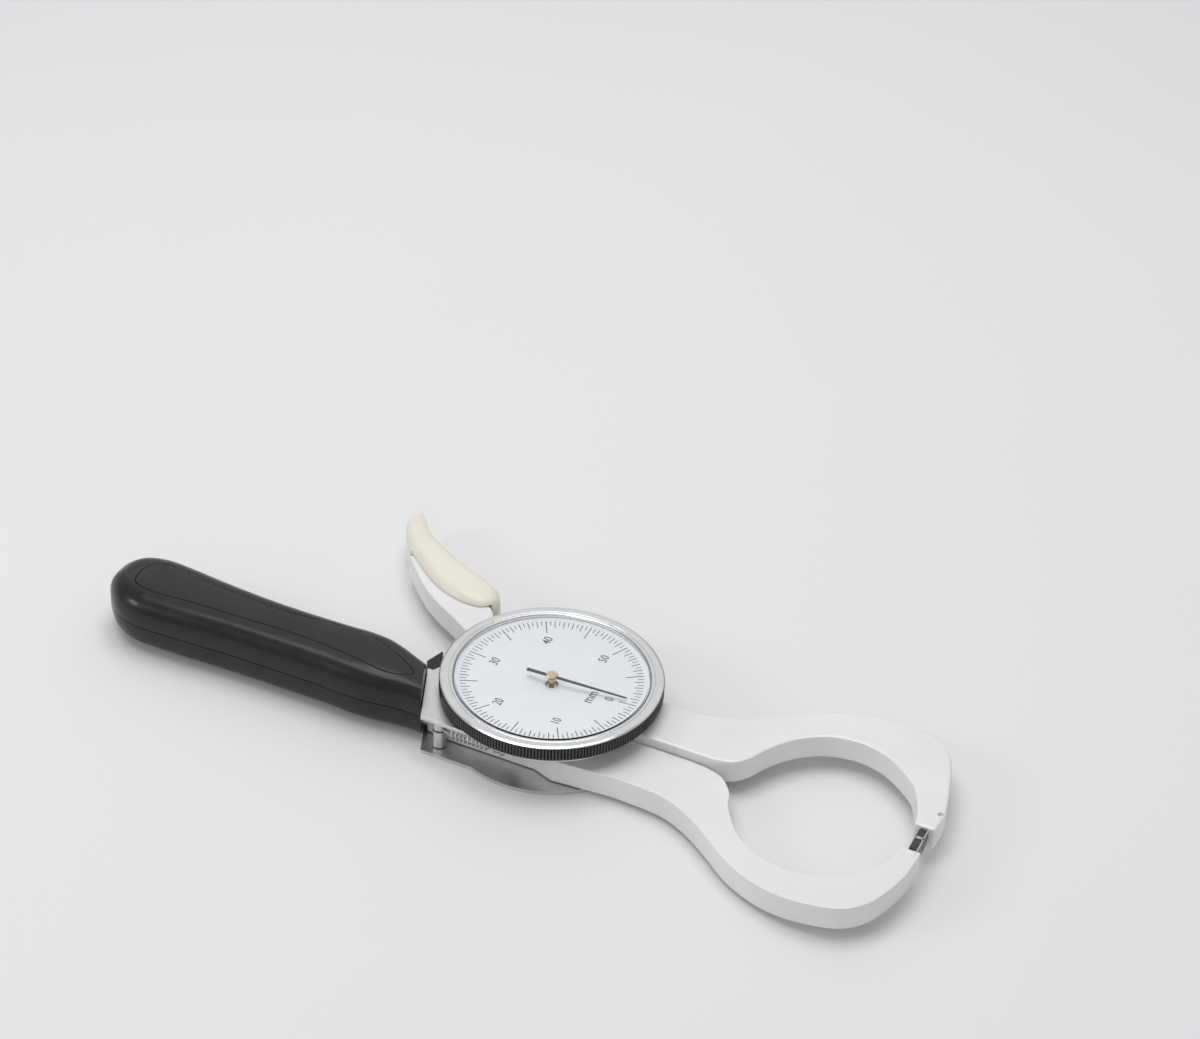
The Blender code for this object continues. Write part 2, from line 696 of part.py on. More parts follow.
for index in range(2):
    label = "_%d" % (index + 1)
    angle = math.radians(mesh_deg + sector_screw_turn * index)
    place = (screw_circle * math.cos(angle), screw_circle * math.sin(angle))
    hole = rod("sector screw hole" + label, place, screw_shank + seat_gap, sector_screw_low - seat_gap,
               moving_arm_top + MM, 20, **hidden)
    add_boolean(gear_sector, hole)
    add_boolean(moving_arm, hole)
    profile = screw_profile(sector_screw_low, sector_top + seat_gap / 2, moving_arm_top)
    revolve("sector_screw" + label, profile, place, 24, **steel)

pinion_step = 360.0 / pinion_teeth
pinion_line = teeth(pinion_pitch, pinion_step, mesh_deg + 180.0, pinion_teeth)
pinion_line = [(x + gauge[0], y + gauge[1]) for x, y in pinion_line]
pointer_shaft = prism("pointer_shaft", pinion_line, sector_low, sector_top, **steel)
shaft = rod("shaft", gauge, shaft_radius, sector_low + gear_thick / 2, shaft_top, 20, **hidden)
add_boolean(pointer_shaft, shaft, "UNION")

# Bush that carries the shaft in the plate and the case floor.
bush_bore = shaft_radius + seat_gap
bush_top = case_floor_top + seat_gap / 2
bush_profile = [(bush_bore, top_plate_low), (bush_radius, top_plate_low), (bush_radius, bush_top),
                (bush_bore, bush_top)]
revolve("shaft_bush", bush_profile, gauge, 32, colour=brass, rough=0.35)

# Gauge case, a shallow cup.
cup_profile = [(bush_radius + seat_gap, bezel_low), (case_radius, bezel_low), (case_radius, case_top),
               (case_radius - case_wall, case_top), (case_radius - case_wall, case_floor_top),
               (bush_radius + seat_gap, case_floor_top)]
gauge_case = revolve("gauge_case", cup_profile, gauge, **steel)
for index in range(3):
    label = "_%d" % (index + 1)
    angle = math.radians(90.0 + 120.0 * index)
    place = (gauge[0] + case_screw_circle * math.cos(angle), gauge[1] + case_screw_circle * math.sin(angle))
    hole = rod("case screw hole" + label, place, screw_shank + seat_gap, top_plate_low - MM,
               case_floor_top + MM, 20, **hidden)
    add_boolean(gauge_case, hole)
    add_boolean(top_plate, hole)
    profile = screw_profile(top_plate_low, bush_top, bush_top + screw_head / 2)
    revolve("case_screw" + label, profile, place, 24, **steel)

# Knurled bezel that turns on the case.
bm = bmesh.new()
bezel_profile = [(bezel_bore, bezel_low), (bezel_radius - knurl_depth, bezel_low),
                 (bezel_radius, bezel_low + knurl_depth), (bezel_radius, bezel_shoulder - 2 * knurl_depth),
                 (bezel_radius - 2 * knurl_depth, bezel_shoulder), (bezel_bore, bezel_shoulder)]
rings = []
for radius, height in bezel_profile:
    ring = []
    for i in range(2 * knurl_count):
        angle = math.pi * i / knurl_count
        reach = radius - knurl_depth * (i % 2) if radius == bezel_radius else radius
        place = (gauge[0] + reach * math.cos(angle), gauge[1] + reach * math.sin(angle), height)
        ring.append(bm.verts.new(place))
    rings.append(ring)
for lower, upper in zip(rings, rings[1:] + rings[:1]):
    for i in range(2 * knurl_count):
        j = (i + 1) % (2 * knurl_count)
        bm.faces.new((lower[i], lower[j], upper[j], upper[i]))
bezel = add_object("bezel", finish_mesh("bezel", bm), colour=black, rough=0.3, metal=0.6)
sleeve_low = case_top + seat_gap
trim_low = bezel_shoulder + seat_gap
sleeve_radius = bezel_bore - seat_gap
trim_profile = [(ring_bore, sleeve_low), (sleeve_radius, sleeve_low), (sleeve_radius, trim_low),
                (trim_radius, trim_low), (trim_radius, bezel_top - 2 * seat_gap),
                (trim_radius - seat_gap, bezel_top), (ring_bore + MM, bezel_top),
                (ring_bore, bezel_top - seat_gap)]
revolve("trim_ring", trim_profile, gauge, **steel)

# Dished dial and the domed crystal above it.
dial_low = dial_edge_height - dial_dish
dial_profile = [(dial_hole, dial_low - dial_thick), (dial_radius, dial_edge_height - dial_thick),
                (dial_radius, dial_edge_height), (dial_hole, dial_low)]
revolve("dial_plate", dial_profile, gauge, colour=enamel, rough=0.4, metal=0.0)
crystal_radius = ring_bore - seat_gap
dome = []
for k in range(5):
    share = k / 4
    dome.append((crystal_radius * (1 - share), crystal_rise * (1 - (1 - share) ** 2)))
under = [(r, crystal_low + h) for r, h in dome]
over = [(r, crystal_low + crystal_thick + h) for r, h in dome]
revolve("crystal", under[::-1] + over, gauge, colour=(0.9, 0.93, 0.95), rough=0.05, metal=0.0)

# Pointer with an eye round its hub.
pointer_turn = math.radians(pointer_deg)
pointer_line = []
for x, y in ((-pointer_tail, -pointer_wide / 2), (pointer_reach, -pointer_wide / 5),
             (pointer_reach, pointer_wide / 5), (-pointer_tail, pointer_wide / 2)):
    pointer_line.append((gauge[0] + x * math.cos(pointer_turn) - y * math.sin(pointer_turn),
                         gauge[1] + x * math.sin(pointer_turn) + y * math.cos(pointer_turn)))
pointer_top = pointer_low + pointer_thick
pointer = prism("pointer", pointer_line, pointer_low, pointer_top, colour=black, rough=0.4, metal=0.0)
pointer_eye = rod("pointer eye", gauge, hub_cap_radius - seat_gap / 2, pointer_low, pointer_top, **hidden)
pointer_hole = rod("pointer hole", gauge, hub_sleeve_radius + seat_gap / 2, pointer_low - MM,
                   pointer_low + MM, **hidden)
add_boolean(pointer, pointer_eye, "UNION")
add_boolean(pointer, pointer_hole)
hub_bore = shaft_radius + seat_gap / 2
hub_cap_low = pointer_top + seat_gap / 2
hub_profile = [(hub_bore, hub_low), (hub_sleeve_radius, hub_low), (hub_sleeve_radius, hub_cap_low),
               (hub_cap_radius, hub_cap_low), (hub_cap_radius, shaft_top - hub_bore / 2),
               (hub_cap_radius - hub_bore / 2, shaft_top), (hub_bore, shaft_top)]
revolve("pointer_hub", hub_profile, gauge, 32, colour=brass, rough=0.3)

# Grip of two shells round the tang, cut off along the edge of the plates.
grip_profile = []
for back, middle, half, rise in zip(grip_back_shares, grip_middle_shares, grip_half_shares, grip_rise_shares):
    grip_profile.append((-back * grip_back, middle * grip_width, half * grip_width, rise * grip_height / 2))
grip_stations = []
for x, middle, half, rise in smooth_line(grip_profile, 2):
    grip_stations.append(((x, middle, grip_split), (0.0, 1.0, 0.0), half, rise))
tail = Vector((plate_tail_x - seat_gap, plate_tail_y))
corner = Vector((plate_corner_x - seat_gap, plate_front))
edge = corner - tail
end_line = [tail - edge, corner + edge, (hub_radius, corner.y + edge.y), (hub_radius, tail.y - edge.y)]
grip_end = prism("grip end", end_line, -MM, grip_height + MM, **hidden)
room_half = tang_width / 2 + seat_gap
room_start = (tang_start - tang_length - seat_gap, tang_middle - room_half, tang_low - seat_gap)
tang_room = block("tang room", room_start, (0.0, tang_middle + room_half, grip_split + MM), **hidden)
far_side = 1.1 * grip_back
lower_room = block("below the split", (-far_side, -far_side, -MM),
                   (far_side, far_side, grip_split + seat_gap / 2), **hidden)
upper_room = block("above the split", (-far_side, -far_side, grip_split - seat_gap / 2),
                   (far_side, far_side, grip_height + MM), **hidden)
plastic = {"colour": black, "rough": 0.25, "metal": 0.0}
grip_lower = loft("grip_lower", grip_stations, grip_squareness, 28, **plastic)
grip_upper = loft("grip_upper", grip_stations, grip_squareness, 28, **plastic)
for shell, room in ((grip_lower, upper_room), (grip_upper, lower_room)):
    add_boolean(shell, room)
    add_boolean(shell, grip_end)
add_boolean(grip_lower, tang_room)
head_top = grip_screw_sink - seat_gap
grip_screw_profile = [(0.0, seat_gap), (grip_screw_head, seat_gap), (grip_screw_head, head_top),
                      (grip_screw_shank, head_top), (grip_screw_shank, grip_screw_top),
                      (0.0, grip_screw_top)]
for index, share in enumerate(grip_screw_shares):
    label = "_%d" % (index + 1)
    place = (-share * grip_back, tang_middle)
    hole = rod("grip screw hole" + label, place, grip_screw_shank + seat_gap, -MM,
               grip_screw_top + seat_gap, 24, **hidden)
    sink = rod("grip screw sink" + label, place, grip_screw_head + seat_gap, -MM, grip_screw_sink, **hidden)
    for piece in (grip_lower, grip_upper, fixed_arm):
        add_boolean(piece, hole)
    add_boolean(grip_lower, sink)
    revolve("grip_screw" + label, grip_screw_profile, place, 28, **steel)

# Countersunk screws that hold the back plate to the fixed arm.
screw_foot = seat_gap / 3
back_screw_profile = [(0.0, screw_foot), (back_screw_head - seat_gap, screw_foot),
                      (back_screw_shank, back_plate_thick), (back_screw_shank, back_screw_top),
                      (0.0, back_screw_top)]
sink_profile = [(0.0, -seat_gap), (back_screw_head + seat_gap, -seat_gap),
                (back_screw_shank + seat_gap, back_plate_thick),
                (back_screw_shank + seat_gap, back_screw_top + seat_gap), (0.0, back_screw_top + seat_gap)]
for index, place in enumerate((front_spacer_place, side_spacer_place, middle_screw_place)):
    label = "_%d" % (index + 1)
    sink = revolve("back screw sink" + label, sink_profile, place, 24, **hidden)
    add_boolean(back_plate, sink)
    add_boolean(fixed_arm, sink)
    revolve("back_screw" + label, back_screw_profile, place, 24, **steel)

# Stand the whole caliper on the origin.
bpy.context.view_layer.update()
depsgraph = bpy.context.evaluated_depsgraph_get()
spots = []
for piece in parts.objects:
    shown = piece.evaluated_get(depsgraph)
    mesh = shown.to_mesh()
    spots += [shown.matrix_world @ vert.co for vert in mesh.vertices]
    shown.to_mesh_clear()
lows = [min(spot[i] for spot in spots) for i in range(3)]
highs = [max(spot[i] for spot in spots) for i in range(3)]
shift = (-(lows[0] + highs[0]) / 2, -(lows[1] + highs[1]) / 2, -lows[2])
frame = bpy.data.objects.new("caliper_frame", None)
parts.objects.link(frame)
frame.location = shift
for piece in list(parts.objects) + list(cutters.objects):
    if piece is not frame:
        piece.parent = frame
for name, place in (("arm_axis", (0.0, 0.0)), ("gauge_axis", gauge)):
    axis = bpy.data.objects.new(name, None)
    parts.objects.link(axis)
    axis.location = (*place, top_plate_top)
    axis.parent = frame
print("frame shift mm", [round(value / MM, 3) for value in shift])
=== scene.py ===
"""Looks of the skinfold caliper."""
import json
import math

import bmesh
import bpy
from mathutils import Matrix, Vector


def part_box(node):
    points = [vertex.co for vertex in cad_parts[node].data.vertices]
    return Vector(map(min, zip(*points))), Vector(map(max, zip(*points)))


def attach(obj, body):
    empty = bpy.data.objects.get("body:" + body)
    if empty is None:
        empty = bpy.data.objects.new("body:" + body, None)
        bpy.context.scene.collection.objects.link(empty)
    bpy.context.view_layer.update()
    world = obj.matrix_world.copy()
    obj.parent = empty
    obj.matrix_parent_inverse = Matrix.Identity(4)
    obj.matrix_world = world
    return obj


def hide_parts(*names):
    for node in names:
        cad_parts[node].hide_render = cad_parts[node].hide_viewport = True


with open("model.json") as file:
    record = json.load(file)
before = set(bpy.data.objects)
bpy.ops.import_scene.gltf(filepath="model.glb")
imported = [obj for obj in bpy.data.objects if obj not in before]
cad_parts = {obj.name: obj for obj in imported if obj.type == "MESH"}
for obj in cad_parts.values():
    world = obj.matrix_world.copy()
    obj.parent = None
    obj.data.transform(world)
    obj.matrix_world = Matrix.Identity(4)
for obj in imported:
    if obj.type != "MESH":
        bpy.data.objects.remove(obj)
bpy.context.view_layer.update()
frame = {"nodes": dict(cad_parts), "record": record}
nodes = frame["nodes"]
scene = bpy.context.scene
scene.view_settings.view_transform = "Standard"

MM = 0.001


def middle_of(node):
    low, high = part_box(node)
    return (low + high) / 2


pivot = middle_of("pivot_pin")
pivot.z = 0.0
gauge = middle_of("trim_ring")
gauge.z = 0.0
bezel_low, bezel_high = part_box("bezel")
bezel_radius = (bezel_high.x - bezel_low.x) / 2
trim_low, trim_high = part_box("trim_ring")


# Materials. Most of a noise lies between these two values.
NOISE_LOW = 0.3
NOISE_HIGH = 0.7


def socket(node, name, value):
    node.inputs[name].default_value = value


class Paint:
    """One material with its nodes laid out from object coordinates."""

    def __init__(self, name, colour, rough, metal=0.0, coat=0.0, coat_rough=0.1, specular=0.5):
        self.made = bpy.data.materials.new(name)
        self.made.use_nodes = True
        self.tree = self.made.node_tree
        self.shader = self.tree.nodes["Principled BSDF"]
        self.colour = colour
        self.rough = rough
        self.made.diffuse_color = (*colour, 1.0)
        socket(self.shader, "Base Color", (*colour, 1.0))
        socket(self.shader, "Roughness", rough)
        socket(self.shader, "Metallic", metal)
        socket(self.shader, "Coat Weight", coat)
        socket(self.shader, "Coat Roughness", coat_rough)
        socket(self.shader, "Specular IOR Level", specular)
        self.places = self.node("ShaderNodeTexCoord").outputs["Object"]

    def node(self, kind, **settings):
        made = self.tree.nodes.new(kind)
        for key, value in settings.items():
            setattr(made, key, value)
        return made

    def link(self, source, target):
        self.tree.links.new(source, target)

    def noise(self, size, detail=3.0, rough=0.5, stretch=None):
        """Noise with features of the given size in metres."""
        noise = self.node("ShaderNodeTexNoise")
        socket(noise, "Scale", 1.0 / size)
        socket(noise, "Detail", detail)
        socket(noise, "Roughness", rough)
        places = self.places
        if stretch:
            mapping = self.node("ShaderNodeMapping")
            socket(mapping, "Scale", stretch)
            self.link(places, mapping.inputs["Vector"])
            places = mapping.outputs["Vector"]
        self.link(places, noise.inputs["Vector"])
        return noise.outputs["Fac"]

    def ranged(self, factor, low, high, low_in=NOISE_LOW, high_in=NOISE_HIGH):
        """The factor taken from one range of values to another."""
        span = self.node("ShaderNodeMapRange")
        socket(span, "From Min", low_in)
        socket(span, "From Max", high_in)
        socket(span, "To Min", low)
        socket(span, "To Max", high)
        self.link(factor, span.inputs["Value"])
        return span.outputs["Result"]

    def tint(self, factor, other, low_in=NOISE_LOW, high_in=NOISE_HIGH):
        """Blend the present colour with another one by the factor."""
        mix = self.node("ShaderNodeMix", data_type="RGBA")
        present = self.shader.inputs["Base Color"]
        if present.is_linked:
            self.link(present.links[0].from_socket, mix.inputs["A"])
        else:
            mix.inputs["A"].default_value = (*self.colour, 1.0)
        mix.inputs["B"].default_value = (*other, 1.0)
        self.link(self.ranged(factor, 0.0, 1.0, low_in, high_in), mix.inputs["Factor"])
        self.link(mix.outputs["Result"], present)

    def vary_rough(self, factor, spread):
        result = self.ranged(factor, self.rough - spread, self.rough + spread)
        self.link(result, self.shader.inputs["Roughness"])

    def bump(self, factor, depth, strength, coat=False):
        bump = self.node("ShaderNodeBump")
        socket(bump, "Strength", strength)
        socket(bump, "Distance", depth)
        self.link(factor, bump.inputs["Height"])
        self.link(bump.outputs["Normal"], self.shader.inputs["Normal"])
        if coat:
            self.link(bump.outputs["Normal"], self.shader.inputs["Coat Normal"])


def enamel_paint():
    paint = Paint("white_enamel", (0.82, 0.82, 0.81), 0.34, coat=0.5, coat_rough=0.12)
    paint.tint(paint.noise(22 * MM, 3.0), (0.76, 0.765, 0.76))
    paint.tint(paint.noise(1.1 * MM, 2.0), (0.70, 0.70, 0.69), low_in=0.68, high_in=0.80)
    paint.vary_rough(paint.noise(6 * MM), 0.05)
    paint.bump(paint.noise(0.9 * MM, 2.0), 0.02 * MM, 0.5, coat=True)
    return paint.made


def black_plastic_paint():
    paint = Paint("black_plastic", (0.009, 0.009, 0.010), 0.30, coat=0.12, coat_rough=0.10, specular=0.32)
    paint.tint(paint.noise(14 * MM, 4.0), (0.014, 0.014, 0.015))
    paint.tint(paint.noise(0.35 * MM, 1.0), (0.10, 0.10, 0.10), low_in=0.74, high_in=0.80)
    paint.vary_rough(paint.noise(5 * MM, 4.0), 0.06)
    paint.bump(paint.noise(0.5 * MM, 2.0), 0.012 * MM, 0.5)
    return paint.made


def satin_paint():
    paint = Paint("satin_steel", (0.70, 0.70, 0.695), 0.36, metal=1.0)
    paint.tint(paint.noise(3 * MM, 4.0, 0.6), (0.62, 0.62, 0.62))
    paint.vary_rough(paint.noise(0.25 * MM, 2.0), 0.07)
    paint.bump(paint.noise(0.22 * MM, 2.0, stretch=(1.0, 0.25, 1.0)), 0.01 * MM, 0.4)
    return paint.made


def bright_paint():
    paint = Paint("bright_steel", (0.80, 0.80, 0.79), 0.20, metal=1.0)
    paint.tint(paint.noise(5 * MM, 3.0), (0.74, 0.74, 0.73))
    paint.vary_rough(paint.noise(2.5 * MM, 2.0), 0.04)
    return paint.made


def dark_chrome_paint():
    # Its dark colour is partly painted reflection, standing in for the dark surroundings that the anvils
    # mirror.
    paint = Paint("dark_chrome", (0.11, 0.105, 0.105), 0.16, metal=1.0)
    paint.tint(paint.noise(1.5 * MM, 3.0), (0.075, 0.07, 0.07))
    paint.vary_rough(paint.noise(0.6 * MM), 0.04)
    return paint.made


def brass_paint():
    paint = Paint("brass", (0.72, 0.56, 0.38), 0.30, metal=1.0)
    paint.tint(paint.noise(0.8 * MM, 3.0), (0.58, 0.42, 0.26))
    paint.vary_rough(paint.noise(0.4 * MM), 0.07)
    return paint.made


def ivory_paint():
    paint = Paint("ivory_plastic", (0.80, 0.775, 0.66), 0.36, coat=0.2, coat_rough=0.3)
    paint.tint(paint.noise(16 * MM, 2.0), (0.83, 0.80, 0.69))
    paint.tint(paint.noise(0.8 * MM, 1.0), (0.70, 0.67, 0.56), low_in=0.72, high_in=0.80)
    paint.vary_rough(paint.noise(4 * MM), 0.05)
    paint.bump(paint.noise(0.7 * MM, 2.0), 0.012 * MM, 0.5)
    socket(paint.shader, "Subsurface Weight", 0.15)
    socket(paint.shader, "Subsurface Scale", 2 * MM)
    socket(paint.shader, "Subsurface Radius", (1.0, 0.8, 0.5))
    return paint.made


def dial_paint():
    paint = Paint("dial_white", (0.73, 0.77, 0.80), 0.45)
    paint.tint(paint.noise(9 * MM, 2.0), (0.755, 0.79, 0.815))
    paint.vary_rough(paint.noise(0.3 * MM), 0.05)
    paint.bump(paint.noise(0.12 * MM, 1.0), 0.003 * MM, 0.4)
    return paint.made


def ink_paint():
    paint = Paint("dial_ink", (0.030, 0.030, 0.034), 0.5)
    paint.tint(paint.noise(0.15 * MM, 1.0), (0.07, 0.07, 0.08), low_in=0.5, high_in=0.8)
    return paint.made


def bezel_paint():
    """Black metal that is a little lighter on the crests of the flutes, a painted highlight."""
    paint = Paint("black_bezel", (0.012, 0.012, 0.013), 0.26, metal=0.7)
    paint.tint(paint.noise(1.0 * MM, 3.0), (0.022, 0.022, 0.023))
    from_axis = paint.node("ShaderNodeVectorMath", operation="MULTIPLY_ADD")
    paint.link(paint.places, from_axis.inputs[0])
    from_axis.inputs[1].default_value = (1.0, 1.0, 0.0)
    from_axis.inputs[2].default_value = (-gauge.x, -gauge.y, 0.0)
    reach = paint.node("ShaderNodeVectorMath", operation="LENGTH")
    paint.link(from_axis.outputs["Vector"], reach.inputs[0])
    crest_foot = bezel_radius - 0.25 * MM
    crest_top = bezel_radius - 0.06 * MM
    # Painted highlight: the colour turns lighter from the foot of each crest to its top.
    paint.tint(reach.outputs["Value"], (0.085, 0.085, 0.087), crest_foot, crest_top)
    paint.vary_rough(paint.noise(0.5 * MM), 0.07)
    paint.bump(paint.noise(0.3 * MM, 1.0), 0.008 * MM, 0.4)
    return paint.made


def glass_paint():
    """Clear pane that lets the lamps light the dial under it."""
    paint = Paint("crystal_glass", (1.0, 1.0, 1.0), 0.02)
    socket(paint.shader, "Transmission Weight", 1.0)
    socket(paint.shader, "IOR", 1.45)
    clear = paint.node("ShaderNodeBsdfTransparent")
    path = paint.node("ShaderNodeLightPath")
    surface = paint.shader.outputs["BSDF"]
    for ray in ("Is Shadow Ray", "Is Diffuse Ray"):
        mix = paint.node("ShaderNodeMixShader")
        paint.link(path.outputs[ray], mix.inputs["Fac"])
        paint.link(surface, mix.inputs[1])
        paint.link(clear.outputs["BSDF"], mix.inputs[2])
        surface = mix.outputs["Shader"]
    paint.link(surface, paint.tree.nodes["Material Output"].inputs["Surface"])
    return paint.made


white_enamel = enamel_paint()
black_plastic = black_plastic_paint()
satin_steel = satin_paint()
bright_steel = bright_paint()
dark_chrome = dark_chrome_paint()
brass = brass_paint()
ivory_plastic = ivory_paint()
dial_white = dial_paint()
dial_ink = ink_paint()
black_bezel = bezel_paint()
crystal_glass = glass_paint()

slot_paints = {
    "white_enamel": white_enamel, "black_plastic": black_plastic, "satin_steel": satin_steel,
    "dark_chrome": dark_chrome, "brass": brass, "ivory_plastic": ivory_plastic, "dial_white": dial_white,
    "crystal_glass": crystal_glass, "black_bezel": black_bezel,
}


# Mesh helpers.
WELD_REACH = 0.002 * MM
FLAT_DEG = 0.4
SOLID_EDGE_DEG = 50.0
SOLID_SHARP_DEG = 32.0
BEVELLED_SHARP_DEG = 60.0
EVEN_WEIGHT = 90
CORNER_SHARE = 0.45


def break_edges(piece, width, segments, angle_deg):
    """Small bevel on the edges that turn by more than an angle."""
    rim = piece.modifiers.new("broken edges", "BEVEL")
    rim.width = width
    rim.segments = segments
    rim.limit_method = "ANGLE"
    rim.angle_limit = math.radians(angle_deg)


def shade(mesh, sharp_deg):
    """Smooth shading, with edges that turn by more than an angle left crisp where one is given."""
    for face in mesh.polygons:
        face.use_smooth = True
    if sharp_deg:
        mesh.set_sharp_from_angle(angle=math.radians(sharp_deg))


def smooth_solid(piece, bevel):
    """Weld a solid, break its edges where asked, and shade it smooth with its flat faces kept flat."""
    weld = piece.modifiers.new("weld", "WELD")
    weld.merge_threshold = WELD_REACH
    flat = piece.modifiers.new("flat faces", "DECIMATE")
    flat.decimate_type = "DISSOLVE"
    flat.angle_limit = math.radians(FLAT_DEG)
    shade(piece.data, None)
    if bevel:
        break_edges(piece, bevel, segments=2, angle_deg=SOLID_EDGE_DEG)
    split = piece.modifiers.new("sharp edges", "EDGE_SPLIT")
    split.split_angle = math.radians(BEVELLED_SHARP_DEG if bevel else SOLID_SHARP_DEG)
    split.use_edge_sharp = False
    even = piece.modifiers.new("even normals", "WEIGHTED_NORMAL")
    even.weight = EVEN_WEIGHT


def cut(piece, tools):
    """Take the tools out of a piece for good, and remove them."""
    for tool in tools:
        step = piece.modifiers.new(tool.name, "BOOLEAN")
        step.object = tool
        step.operation = "DIFFERENCE"
        step.solver = "EXACT"
    bpy.context.view_layer.update()
    shown = piece.evaluated_get(bpy.context.evaluated_depsgraph_get())
    mesh = bpy.data.meshes.new_from_object(shown)
    piece.modifiers.clear()
    piece.data = mesh
    for tool in tools:
        bpy.data.objects.remove(tool)


def scene_object(name, bm):
    """Object in the scene with the mesh of a bmesh, which is freed."""
    mesh = bpy.data.meshes.new(name)
    bm.to_mesh(mesh)
    bm.free()
    made = bpy.data.objects.new(name, mesh)
    scene.collection.objects.link(made)
    return made


def finish_mesh(name, bm, paint, body, sharp_deg=35.0):
    """Visible piece from a bmesh, with its paint, shading and body."""
    bmesh.ops.recalc_face_normals(bm, faces=bm.faces[:])
    piece = scene_object(name, bm)
    piece.data.materials.append(paint)
    shade(piece.data, sharp_deg)
    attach(piece, body)
    return piece


def wall(bm, lower, upper):
    """Quads between two closed loops of equal length."""
    count = len(lower)
    for i in range(count):
        j = (i + 1) % count
        bm.faces.new((lower[i], lower[j], upper[j], upper[i]))


def skin(bm, rings):
    """Walls between closed loops of equal length, with flat ends."""
    for lower, upper in zip(rings, rings[1:]):
        wall(bm, lower, upper)
    bm.faces.new(rings[0])
    bm.faces.new(rings[-1])


def round_gauge(radius, angle, height):
    """Point at a distance from the gauge's axis and at an angle round it."""
    return (gauge.x + radius * math.cos(angle), gauge.y + radius * math.sin(angle), height)


def lathe(name, profile, paint, body, steps=160):
    """Closed ring round the gauge's axis, or a solid where the profile starts and ends on the axis."""
    bm = bmesh.new()
    rings = []
    for radius, height in profile:
        count = 1 if radius == 0.0 else steps
        angles = [2 * math.pi * i / steps for i in range(count)]
        rings.append([bm.verts.new(round_gauge(radius, angle, height)) for angle in angles])
    pairs = list(zip(rings, rings[1:]))
    if profile[0][0] != 0.0:
        pairs.append((rings[-1], rings[0]))
    for lower, upper in pairs:
        for i in range(steps):
            j = (i + 1) % steps
            corners = [lower[i % len(lower)], lower[j % len(lower)]]
            corners += [upper[j % len(upper)], upper[i % len(upper)]]
            bm.faces.new(list(dict.fromkeys(corners)))
    return finish_mesh(name, bm, paint, body)


def rounded(corners, radius, steps):
    """Closed profile with each corner cut to a small round."""
    line = []
    count = len(corners)
    for i in range(count):
        here = Vector(corners[i])
        before = Vector(corners[i - 1]) - here
        after = Vector(corners[(i + 1) % count]) - here
        reach = min(radius, before.length * CORNER_SHARE, after.length * CORNER_SHARE)
        start = here + before.normalized() * reach
        end = here + after.normalized() * reach
        for k in range(steps + 1):
            t = k / steps
            point = start * (1 - t) ** 2 + here * 2 * t * (1 - t) + end * t * t
            line.append((point.x, point.y))
    return line


# Knurled bezel with fine straight flutes. The shares are the depth at four places across one flute.
flute_count = 216
flute_depth = 0.42 * MM
flute_shares = (0.0, 0.35, 1.0, 0.35)
bezel_bore = bezel_radius - 3.2 * MM
bezel_shoulder = bezel_radius - 1.0 * MM
bezel_top = trim_high.z - 0.42 * MM
bezel_top_round = 0.15 * MM
bezel_top_chamfer = 0.12 * MM
bezel_edge = 0.5 * MM
bezel_edge_round = 0.2 * MM
bezel_edge_chamfer = 0.1 * MM
bezel_foot_inner = bezel_radius - 1.3 * MM
bezel_foot_outer = bezel_radius - 0.6 * MM
bezel_foot_step = 0.15 * MM


def knurled_bezel():
    """Ring whose outline is given as radius, height and share of the flutes' depth."""
    base = bezel_low.z
    shelf = bezel_high.z
    outline = [
        (bezel_bore, base, 0.0), (bezel_foot_inner, base, 0.0),
        (bezel_foot_outer, base + bezel_foot_step, 0.0),
        (bezel_radius - bezel_edge_chamfer, base + bezel_edge, 1.0),
        (bezel_radius, base + bezel_edge + bezel_edge_round, 1.0),
        (bezel_radius, bezel_top - bezel_top_round, 1.0), (bezel_radius - bezel_top_chamfer, bezel_top, 1.0),
        (bezel_shoulder, bezel_top, 0.0), (bezel_shoulder, shelf, 0.0), (bezel_bore, shelf, 0.0),
    ]
    per_flute = len(flute_shares)
    steps = flute_count * per_flute
    bm = bmesh.new()
    rings = []
    for radius, height, share in outline:
        ring = []
        for i in range(steps):
            reach = radius - flute_depth * share * flute_shares[i % per_flute]
            ring.append(bm.verts.new(round_gauge(reach, 2 * math.pi * i / steps, height)))
        rings.append(ring)
    for lower, upper in zip(rings, rings[1:] + rings[:1]):
        wall(bm, lower, upper)
    piece = finish_mesh("bezel_knurl", bm, black_bezel, "bezel", sharp_deg=50.0)
    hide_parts("bezel")


knurled_bezel()

# Bright ring with fine steps on top and a polished wall inside. A step is a pair of millimetres: on the
# top, in from the lip and down, and on the wall, out from the bore and down from the top.
trim_radius = (trim_high.x - trim_low.x) / 2
ring_bore = trim_radius - 4.1 * MM
trim_top = trim_high.z
trim_lip = bezel_radius - 0.20 * MM
trim_wall = bezel_radius - 1.15 * MM
trim_shelf = bezel_high.z + 0.3 * MM
sleeve_radius = bezel_bore - 0.3 * MM
sleeve_bore = ring_bore + 0.05 * MM
trim_round = 0.06 * MM
lip_steps = [
    (0.0, 0.37), (0.0, 0.30), (0.75, 0.0), (2.75, 0.0),
    (2.85, 0.14), (3.05, 0.14), (3.15, 0.02), (3.85, 0.02),
]
wall_steps = [(0.0, 0.5), (0.0, 1.1), (0.12, 1.2), (0.05, 1.3)]
trim_outline = [
    (sleeve_bore, trim_low.z), (sleeve_radius, trim_low.z), (sleeve_radius, trim_shelf),
    (trim_wall, trim_shelf), (trim_wall, trim_top - lip_steps[0][1] * MM),
]
trim_outline += [(trim_lip - inward * MM, trim_top - drop * MM) for inward, drop in lip_steps]
trim_outline += [(ring_bore + outward * MM, trim_top - drop * MM) for outward, drop in wall_steps]
trim_profile = rounded(trim_outline, trim_round, steps=2)
trim = lathe("trim_ring_turned", trim_profile, bright_steel, "bezel", steps=240)
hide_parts("trim_ring")

